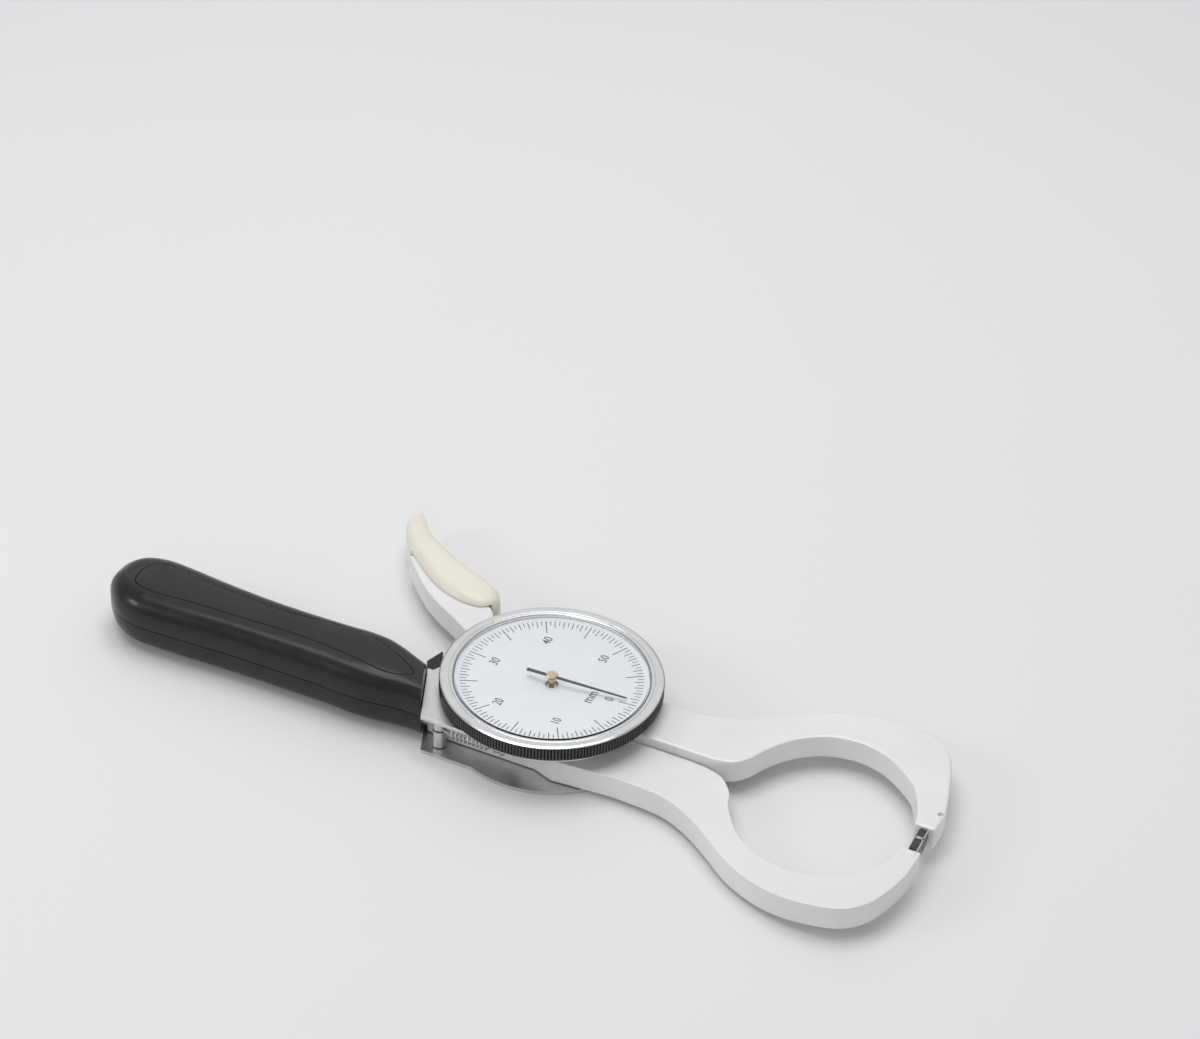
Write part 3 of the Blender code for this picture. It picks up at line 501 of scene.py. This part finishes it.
# Crystal, a thin dome.
crystal_low, crystal_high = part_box("crystal")
crystal_radius = (crystal_high.x - crystal_low.x) / 2
crystal_thick = 0.7 * MM
crystal_rise = crystal_high.z - crystal_low.z - crystal_thick
dome_steps = 12
dome = []
for k in range(dome_steps + 1):
    outward = 1 - k / dome_steps
    dome.append((crystal_radius * outward, crystal_rise * (1 - outward ** 2)))
under = [(r, crystal_low.z + h) for r, h in dome]
over = [(r, crystal_low.z + crystal_thick + h) for r, h in dome]
crystal = lathe("crystal_dome", under[::-1] + over, crystal_glass, "bezel")
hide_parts("crystal")

# Dished dial with its scale.
dial_low, dial_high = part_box("dial_plate")
dial_radius = ring_bore - 0.04 * MM
dial_edge = dial_high.z
dial_hole = 2.2 * MM
dial_drop = 2.4 * MM
dial_thick = 0.6 * MM
dial_edge_step = 0.05 * MM
dish_outer = dial_radius - 0.1 * MM
dish_inner = dial_hole + 0.15 * MM


def dial_height(radius):
    """Top of the dish at a distance from its centre."""
    share = (radius - dial_hole) / (dial_radius - dial_hole)
    return dial_edge - dial_drop * (1 - share)


dial_profile = [
    (dial_hole, dial_height(dial_hole) - dial_thick), (dial_radius, dial_edge - dial_thick),
    (dial_radius, dial_edge - dial_edge_step), (dish_outer, dial_height(dish_outer)),
    (dish_inner, dial_height(dish_inner)), (dial_hole, dial_height(dial_hole)),
]
dial = lathe("dial_dished", dial_profile, dial_white, "bezel")
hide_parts("dial_plate")

tick_count = 120
tick_thick = 0.05 * MM
tick_sink = 0.02 * MM
tick_outer = 29.7 * MM
tick_inner = {"half": 27.7 * MM, "one": 26.7 * MM, "five": 23.9 * MM}
tick_width = {"half": 0.24 * MM, "one": 0.28 * MM, "five": 0.31 * MM}


def tick_point(radius, angle, rise):
    return round_gauge(radius, angle, dial_height(radius) + rise)


def dial_ticks():
    """Two ticks to a millimetre, with longer ones at each millimetre and each fifth millimetre."""
    bm = bmesh.new()
    for index in range(tick_count):
        kind = "five" if index % 10 == 0 else "one" if index % 2 == 0 else "half"
        angle = -2 * math.pi * index / tick_count
        inner = tick_inner[kind]
        half_width = tick_width[kind] / 2
        corners = []
        for radius, side in ((inner, -1), (tick_outer, -1), (tick_outer, 1), (inner, 1)):
            corners.append((radius, angle + side * half_width / radius))
        low = [bm.verts.new(tick_point(radius, turn, -tick_sink)) for radius, turn in corners]
        high = [bm.verts.new(tick_point(radius, turn, tick_thick)) for radius, turn in corners]
        bm.faces.new(low[::-1])
        bm.faces.new(high)
        wall(bm, low, high)
    finish_mesh("dial_ticks", bm, dial_ink, "bezel", sharp_deg=None)


dial_ticks()

letter_thick = 0.03 * MM
letter_weight = 0.03 * MM
letter_lift = 0.01 * MM


def dial_text(name, words, place, size, stretch):
    """Flat lettering laid on the dish, reading along +Y with its top towards the grip."""
    letters = bpy.data.curves.new(name, "FONT")
    letters.body = words
    letters.size = size
    letters.align_x = "CENTER"
    letters.align_y = "CENTER"
    letters.extrude = letter_thick
    letters.offset = letter_weight
    letters.resolution_u = 3
    raw = bpy.data.objects.new(name, letters)
    scene.collection.objects.link(raw)
    bpy.context.view_layer.update()
    mesh = bpy.data.meshes.new_from_object(raw.evaluated_get(bpy.context.evaluated_depsgraph_get()))
    bpy.data.objects.remove(raw)
    mesh.name = name
    for vert in mesh.vertices:
        x = place[0] - vert.co.y
        y = place[1] + vert.co.x * stretch
        height = dial_height(math.hypot(x, y)) + letter_lift + vert.co.z
        vert.co = Vector((gauge.x + x, gauge.y + y, height))
    mesh.materials.clear()
    mesh.materials.append(dial_ink)
    piece = bpy.data.objects.new(name, mesh)
    scene.collection.objects.link(piece)
    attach(piece, "bezel")


number_radius = 20.5 * MM
number_size = 4.3 * MM
number_stretch = 0.78
number_turn_deg = 60.0
number_count = 6
number_step = 10
for index in range(number_count):
    value = number_step * index
    angle = -math.radians(number_turn_deg * index)
    place = (number_radius * math.cos(angle), number_radius * math.sin(angle))
    dial_text("dial_number_%d" % value, str(value), place, number_size, number_stretch)

unit_place = (14.4 * MM, -1.3 * MM)
unit_size = 5.2 * MM
unit_stretch = 0.80
dial_text("dial_unit", "mm", unit_place, unit_size, unit_stretch)

# Black disc under the hole in the dial, a dark sheet put there as painted shade.
recess_bore = 1.15 * MM
recess_radius = dial_hole + 0.9 * MM
recess_low = dial_low.z - 0.75 * MM
recess_high = recess_low + 0.3 * MM
recess_round = 0.05 * MM
recess_outline = [
    (recess_bore, recess_low), (recess_radius, recess_low),
    (recess_radius, recess_high), (recess_bore, recess_high),
]
recess_profile = rounded(recess_outline, recess_round, steps=1)
lathe("hole_floor", recess_profile, black_plastic, "frame", steps=64)

# Painted highlights on the two anvils: bright steel strips along their edges.
highlight_width = 0.28 * MM
highlight_proud = 0.015 * MM
highlight_depth = 0.3 * MM
highlight_round = 0.05 * MM


def polished_edge(name, node, contact_high, body):
    """Bright strips, a painted highlight, along one side and along the contact face, which is the high or the
    low end of the anvil.
    """
    low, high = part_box(node)
    contact = high.y - highlight_width if contact_high else low.y
    bm = bmesh.new()
    for start, end in (((high.x - highlight_width, low.y + highlight_width), (high.x, high.y - highlight_width)),
                       ((low.x + highlight_width, contact), (high.x - highlight_width, contact + highlight_width))):
        corners = [start, (end[0], start[1]), end, (start[0], end[1])]
        under = [bm.verts.new((x, y, high.z - highlight_depth)) for x, y in corners]
        over = [bm.verts.new((x, y, high.z + highlight_proud)) for x, y in corners]
        bm.faces.new(under)
        bm.faces.new(over)
        wall(bm, under, over)
    edge = finish_mesh(name, bm, bright_steel, body)
    break_edges(edge, highlight_round, segments=2, angle_deg=30.0)


polished_edge("moving_anvil_edge", "moving_anvil", False, "arm")
polished_edge("fixed_anvil_edge", "fixed_anvil", True, "frame")


# Curves for the grip and the thumb pad.
def smooth_line(points, steps):
    """Points on a smooth curve through the given points, ends included."""
    padded = [points[0], *points, points[-1]]
    line = []
    for before, start, end, after in zip(padded, padded[1:], padded[2:], padded[3:]):
        for k in range(steps):
            t = k / steps
            value = []
            for a, b, c, d in zip(before, start, end, after):
                linear = (c - a) * t
                square = (2 * a - 5 * b + 4 * c - d) * t * t
                cubic = (3 * b - a - 3 * c + d) * t ** 3
                value.append(0.5 * (2 * b + linear + square + cubic))
            line.append(tuple(value))
    line.append(tuple(points[-1]))
    return line


def power(value, exponent):
    """Power of a value's size, with the value's sign."""
    return math.copysign(abs(value) ** exponent, value)


def from_pivot(x, y):
    """Place given in millimetres from the pivot."""
    return (pivot.x + x * MM, pivot.y + y * MM)


# Two grip shells with a flat panel drawn by a fine groove.
grip_low, grip_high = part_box("grip_upper")
grip_split = (grip_low.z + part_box("grip_lower")[1].z) / 2
grip_rise = grip_high.z - grip_split
grip_back = 132.3 * MM
grip_width = 29.4 * MM
grip_squareness = 3.0
shell_gap = 0.15 * MM
grip_steps = 7
grip_rows = 40
grip_edge_share = 0.999
grip_bevel = 0.35 * MM
parting_step = 0.12 * MM
grip_back_shares = [
    1.000, 0.996, 0.985, 0.957, 0.922, 0.877, 0.824, 0.718, 0.612,
    0.484, 0.348, 0.287, 0.234, 0.185, 0.144, 0.098, 0.030,
]
grip_middle_shares = [
    -0.258, -0.258, -0.260, -0.275, -0.306, -0.330, -0.340, -0.357, -0.364,
    -0.367, -0.357, -0.354, -0.364, -0.384, -0.408, -0.442, -0.476,
]
grip_half_shares = [
    0.040, 0.120, 0.235, 0.371, 0.459, 0.500, 0.500, 0.466, 0.432,
    0.418, 0.425, 0.442, 0.432, 0.391, 0.337, 0.293, 0.279,
]
grip_rise_shares = [
    0.12, 0.34, 0.60, 0.81, 0.93, 1.00, 1.00, 1.00, 1.00, 1.00, 1.00, 1.00, 1.00, 0.965, 0.93, 0.91, 0.90,
]
grip_profile = []
for back, middle, half, rise in zip(grip_back_shares, grip_middle_shares, grip_half_shares, grip_rise_shares):
    grip_profile.append((pivot.x - back * grip_back, pivot.y + middle * grip_width, half * grip_width,
                         rise * grip_rise))
grip_stations = smooth_line(grip_profile, grip_steps)

# Two points of the line that ends the grip at the plates, in millimetres from the pivot.
grip_end = ((-15.7, -2.8), (-6.1, -25.6))


def grip_top(x, y):
    """Height of the upper shell over a point."""
    for before, after in zip(grip_stations, grip_stations[1:]):
        if before[0] <= x <= after[0]:
            t = (x - before[0]) / (after[0] - before[0])
            middle, half, rise = (before[k] + (after[k] - before[k]) * t for k in (1, 2, 3))
            share = min(abs(y - middle) / half, grip_edge_share)
            return grip_split + rise * (1 - share ** grip_squareness) ** (1 / grip_squareness)
    return grip_split + grip_rise


def grip_shell(name, side):
    """Half of the grip on one side of the parting line."""
    bm = bmesh.new()
    rings = []
    for x, middle, half, rise in grip_stations:
        ring = []
        for i in range(grip_rows + 1):
            angle = math.pi * i / grip_rows
            across = power(math.cos(angle), 2 / grip_squareness)
            upward = abs(math.sin(angle)) ** (2 / grip_squareness)
            if i in (0, grip_rows):
                across *= 1 - parting_step / half
            height = grip_split + side * (shell_gap + upward * (rise - shell_gap))
            ring.append(bm.verts.new((x, middle + half * across, height)))
        rings.append(ring)
    skin(bm, rings)
    tail, corner = (Vector((*from_pivot(x, y), 0.0)) for x, y in grip_end)
    edge = corner - tail
    outward = Vector((-edge.y, edge.x, 0.0)).normalized()
    cut_off = bmesh.ops.bisect_plane(bm, geom=bm.verts[:] + bm.edges[:] + bm.faces[:], plane_co=tail,
                                     plane_no=outward, clear_outer=True)
    rim = [piece for piece in cut_off["geom_cut"] if isinstance(piece, bmesh.types.BMEdge)]
    bmesh.ops.contextual_create(bm, geom=rim)
    return finish_mesh(name, bm, black_plastic, "frame", sharp_deg=50.0)


# Outline of the flat panel, in millimetres from the pivot, and its groove.
panel_points = [
    (-119.4, -15.2), (-120.8, -9.9), (-119.8, -5.5), (-117.1, -3.1), (-113.2, -2.4), (-106.8, -3.1),
    (-99.5, -4.0), (-85.2, -5.2), (-73.7, -5.8), (-62.0, -5.5), (-52.0, -4.1), (-42.1, -3.1), (-33.1, -4.6),
    (-23.0, -8.3), (-15.6, -12.6), (-14.9, -14.6), (-18.6, -16.4), (-24.4, -17.4), (-32.6, -16.7),
    (-39.4, -15.9), (-49.7, -15.1), (-61.9, -15.1), (-73.9, -15.5), (-85.3, -15.9), (-98.5, -16.4),
    (-109.5, -17.3), (-115.9, -16.9),
]
panel_steps = 6
groove_half = 0.22 * MM
groove_depth = 0.3 * MM
groove_flare = 2.6 * groove_half
groove_over = 0.9 * MM


def closed_curve(points, steps):
    """Smooth closed curve through the points."""
    line = smooth_line(points[-2:] + points + points[:2], steps)
    return line[2 * steps:-2 * steps][:len(points) * steps]


def offset(outline, distance):
    """Closed outline moved to the right of the way it runs."""
    line = []
    count = len(outline)
    for i in range(count):
        before = Vector(outline[i - 1])
        after = Vector(outline[(i + 1) % count])
        along = (after - before).normalized()
        line.append((outline[i][0] + along.y * distance, outline[i][1] - along.x * distance))
    return line


def panel_groove():
    """Cutter with a V-shaped section that follows the top of the shell."""
    middle = closed_curve([from_pivot(x, y) for x, y in panel_points], panel_steps)
    section = (
        (-groove_flare, groove_over), (-groove_half, 0.0), (0.0, -groove_depth), (groove_half, 0.0),
        (groove_flare, groove_over),
    )
    bm = bmesh.new()
    loops = []
    for distance, rise in section:
        loop = []
        for (x, y), (base_x, base_y) in zip(offset(middle, distance), middle):
            loop.append(bm.verts.new((x, y, grip_top(base_x, base_y) + rise)))
        loops.append(loop)
    for inner, outer in zip(loops, loops[1:] + loops[:1]):
        wall(bm, inner, outer)
    bmesh.ops.recalc_face_normals(bm, faces=bm.faces[:])
    return scene_object("panel groove", bm)


screw_play = 0.3 * MM
screw_sink_top = 2.9 * MM


def screw_room(name, screw):
    """Round cutter from under the grip for the head of a screw."""
    low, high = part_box(screw)
    radius = (high.x - low.x) / 2 + screw_play
    bm = bmesh.new()
    bmesh.ops.create_cone(bm, cap_ends=True, segments=48, radius1=radius, radius2=radius,
                          depth=2 * screw_sink_top)
    tool = scene_object(name, bm)
    tool.location = ((low.x + high.x) / 2, (low.y + high.y) / 2, 0.0)
    return tool


grip_upper = grip_shell("grip_upper_shell", 1)
grip_lower = grip_shell("grip_lower_shell", -1)
cut(grip_upper, [panel_groove()])
cut(grip_lower, [screw_room("screw sink %d" % index, "grip_screw_%d" % index) for index in (1, 2)])
for piece, node in ((grip_upper, "grip_upper"), (grip_lower, "grip_lower")):
    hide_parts(node)
    break_edges(piece, grip_bevel, segments=3, angle_deg=58.0)
    shade(piece.data, sharp_deg=62.0)

# Thumb pad, drawn round the blade with full ends. Its outline is in shares of its reach and spread.
pad_reach = 158.3 * MM
pad_spread = 46.7 * MM
pad_squareness = 3.0
pad_steps = 5
pad_rows = 48
pad_bevel = 0.3 * MM
blade_steps = 4
blade_play = 0.3 * MM
pad_front_shares = [
    (-0.401, 1.640), (-0.399, 1.570), (-0.394, 1.475), (-0.379, 1.375), (-0.357, 1.251), (-0.329, 1.126),
    (-0.294, 1.019), (-0.251, 0.899), (-0.201, 0.801), (-0.149, 0.749), (-0.107, 0.749), (-0.085, 0.784),
]
pad_back_shares = [
    (-0.391, 1.690), (-0.379, 1.655), (-0.357, 1.560), (-0.329, 1.445), (-0.294, 1.338), (-0.256, 1.257),
    (-0.218, 1.191), (-0.171, 1.122), (-0.126, 1.071), (-0.095, 1.015), (-0.076, 0.921), (-0.073, 0.857),
]
pad_rise_shares = [0.20, 0.42, 0.62, 0.76, 0.88, 0.97, 1.0, 1.0, 0.97, 0.90, 0.70, 0.38]
pad_low, pad_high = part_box("thumb_pad")
pad_middle = (pad_low.z + pad_high.z) / 2
pad_half = (pad_high.z - pad_low.z) / 2
blade_back_shares = [(-0.300, 1.120), (-0.235, 1.100), (-0.165, 1.000), (-0.110, 0.880), (-0.070, 0.770)]
blade_root_shares = [(-0.048, 0.560), (-0.018, 0.360), (0.018, 0.290)]
blade_front_shares = [(-0.052, 0.210), (-0.068, 0.360), (-0.102, 0.501), (-0.228, 0.756), (-0.331, 1.100)]


def pad_place(share):
    """Place given in shares of the pad's reach and spread from the pivot."""
    return (pivot.x + share[0] * pad_reach, pivot.y + share[1] * pad_spread)


def blade_room():
    """Cutter that leaves room in the pad for the blade of the moving arm."""
    shares = blade_front_shares + blade_back_shares + blade_root_shares
    outline = offset(smooth_line([pad_place(share) for share in shares], blade_steps), -blade_play)
    blade_low, blade_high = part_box("moving_arm")
    bm = bmesh.new()
    low = [bm.verts.new((x, y, blade_low.z - blade_play)) for x, y in outline]
    high = [bm.verts.new((x, y, blade_high.z + blade_play)) for x, y in outline]
    skin(bm, [low, high])
    bmesh.ops.recalc_face_normals(bm, faces=bm.faces[:])
    return scene_object("blade room", bm)


def thumb_pad():
    """Pad with rounded sections between its front and its back, open where the blade runs through it."""
    profile = []
    for front, back, rise in zip(pad_front_shares, pad_back_shares, pad_rise_shares):
        profile.append((*pad_place(front), *pad_place(back), rise))
    bm = bmesh.new()
    rings = []
    for station in smooth_line(profile, pad_steps):
        front = Vector(station[0:2])
        back = Vector(station[2:4])
        middle = (front + back) / 2
        side = (back - front) / 2
        ring = []
        for i in range(pad_rows):
            angle = 2 * math.pi * (i + 0.5) / pad_rows
            across = power(math.cos(angle), 2 / pad_squareness)
            upward = power(math.sin(angle), 2 / pad_squareness)
            place = middle + side * across
            ring.append(bm.verts.new((place.x, place.y, pad_middle + pad_half * station[4] * upward)))
        rings.append(ring)
    skin(bm, rings)
    pad = finish_mesh("thumb_pad_body", bm, ivory_plastic, "arm", sharp_deg=None)
    cut(pad, [blade_room()])
    break_edges(pad, pad_bevel, segments=2, angle_deg=40.0)
    shade(pad.data, sharp_deg=75.0)
    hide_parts("thumb_pad")


thumb_pad()

# Carried-over solids get their paint and smooth shading, and the ones listed here also broken edges.
edge_breaks = {
    "top_plate": 0.22 * MM, "back_plate": 0.22 * MM, "spring_anchor": 0.1 * MM, "gauge_case": 0.15 * MM,
    "front_spacer": 0.1 * MM,
}
for subpart in frame["record"]["subparts"]:
    node = nodes[subpart["node"]]
    node.data.materials.clear()
    node.data.materials.append(slot_paints[subpart["material_slot"]])
    smooth_solid(node, edge_breaks.get(subpart["node"], 0.0))

# Floor, lamps and camera, in metres.
floor_size = 4.0
floor_gap = 0.05 * MM
floor_bm = bmesh.new()
bmesh.ops.create_grid(floor_bm, x_segments=1, y_segments=1, size=floor_size)
floor = scene_object("floor", floor_bm)
floor.location = (0.0, 0.0, -floor_gap)
floor_paint = Paint("floor_pale", (0.80, 0.80, 0.80), 0.7)
floor_paint.tint(floor_paint.noise(0.2, 2.0), (0.79, 0.79, 0.795))
floor.data.materials.append(floor_paint.made)


def lamp(name, place, target, size, energy):
    """Soft rectangular lamp that faces a target."""
    data = bpy.data.lights.new(name, "AREA")
    data.shape = "RECTANGLE"
    data.size, data.size_y = size
    data.energy = energy
    made = bpy.data.objects.new(name, data)
    scene.collection.objects.link(made)
    made.location = place
    made.rotation_euler = (Vector(target) - Vector(place)).to_track_quat("-Z", "Y").to_euler()


origin = (0.0, 0.0, 0.0)
lamp("lamp_top", place=(-0.15, 0.10, 1.25), target=origin, size=(1.1, 0.7), energy=8.0)
lamp("lamp_back", place=(-0.35, 0.85, 0.85), target=origin, size=(1.8, 1.0), energy=2.2)
lamp("lamp_left", place=(-0.9, -0.7, 0.60), target=(-0.1, 0.0, 0.0), size=(0.30, 0.30), energy=2.2)
lamp("lamp_front", place=(0.6, -1.2, 0.8), target=origin, size=(1.0, 0.7), energy=1.5)

world = bpy.data.worlds.new("studio")
scene.world = world
world.use_nodes = True
background = world.node_tree.nodes["Background"]
socket(background, "Color", (0.95, 0.97, 1.0, 1.0))
socket(background, "Strength", 0.42)

camera_data = bpy.data.cameras.new("camera")
camera_data.sensor_width = 36.0
camera_data.lens = 79.2021
camera = bpy.data.objects.new("camera", camera_data)
camera.location = (0.28963, -0.61105, 0.55655)
camera.rotation_euler = (0.949021, -0.038858, 0.441329)
scene.collection.objects.link(camera)
scene.camera = camera
